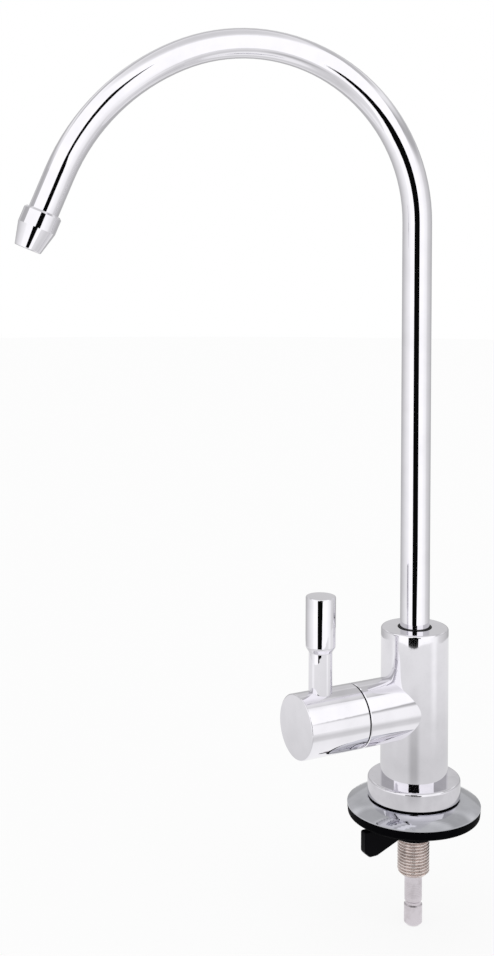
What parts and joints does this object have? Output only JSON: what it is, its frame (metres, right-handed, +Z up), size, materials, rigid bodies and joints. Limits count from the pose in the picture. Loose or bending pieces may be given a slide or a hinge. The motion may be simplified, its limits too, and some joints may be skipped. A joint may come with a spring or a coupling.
{
  "type": "swan neck filter tap",
  "caption": "Deck-mounted chrome drinking water tap with a swivelling swan neck spout, a side lever valve, a round cover plate and a threaded shank with a wing nut.",
  "frame": {"origin": "on the fixing axis, on the underside of the deck gasket, which is the deck's top face", "axes": "+Z up along the riser and the shank; the spout at rest points along -X; the valve branch points 16 degrees from -X towards -Y"},
  "size_m": [0.1619, 0.0467, 0.3106],
  "materials": {
    "body_chrome": "polished chrome plate",
    "tube_chrome": "polished chrome plate on tube",
    "handle_chrome": "polished chrome plate",
    "satin_chrome": "turned, faintly satin chrome plate",
    "plate_chrome": "pressed sheet, chrome plate",
    "nickel_shank": "nickel plate on a rolled thread",
    "nickel_stem": "dull nickel plate, turned",
    "bare_brass": "turned brass",
    "ceramic": "lapped ceramic",
    "black_rubber": "moulded rubber",
    "black_plastic": "moulded black plastic",
    "zinc_steel": "zinc plated steel",
    "spring_steel": "stainless spring steel"
  },
  "bodies": {
    "faucet": {"faucet_body": "body_chrome", "base_ring": "satin_chrome", "ring_seal": "black_rubber", "escutcheon": "plate_chrome", "deck_gasket": "black_rubber", "threaded_shank": "nickel_shank", "inlet_stem": "nickel_stem", "cartridge_body": "bare_brass", "fixed_disc": "ceramic", "seat_seal": "black_rubber", "cartridge_o_ring": "black_rubber"},
    "spout": {"spout_tube": "tube_chrome", "spout_tip": "tube_chrome", "spout_spigot": "bare_brass", "spigot_o_ring_lower": "black_rubber", "spigot_o_ring_upper": "black_rubber", "spout_retainer": "spring_steel", "spout_bush": "black_plastic"},
    "handle": {"handle_hub": "handle_chrome", "lever": "handle_chrome", "spindle": "bare_brass", "moving_disc": "ceramic", "spindle_o_ring": "black_rubber", "spindle_circlip": "spring_steel", "hub_glide_ring": "black_plastic"},
    "lock_washer": {"lock_washer": "zinc_steel"},
    "wing_nut": {"wing_nut": "black_plastic"}
  },
  "joints": [
    {"name": "spout_swivel", "type": "hinge", "parent": "faucet", "child": "spout", "pos_m": [0, 0, 0.0652], "axis": [0, 0, 1], "continuous": true},
    {"name": "handle_turn", "type": "hinge", "parent": "faucet", "child": "handle", "pos_m": [0, 0, 0.0381], "axis": [-0.9613, -0.2756, 0], "range_deg": [0, 90]},
    {"name": "washer_slide", "type": "slide", "parent": "faucet", "child": "lock_washer", "axis": [0, 0, -1], "range_m": [-0.00212, 0.0106]},
    {"name": "nut_turn", "type": "hinge", "parent": "lock_washer", "child": "wing_nut", "pos_m": [0, 0, -0.006], "axis": [0, 0, -1], "range_deg": [-720, 3600]}
  ],
  "couplings": [
    {"joint": "washer_slide", "follows": "nut_turn", "m_per_rad": 0.00016843}
  ]
}
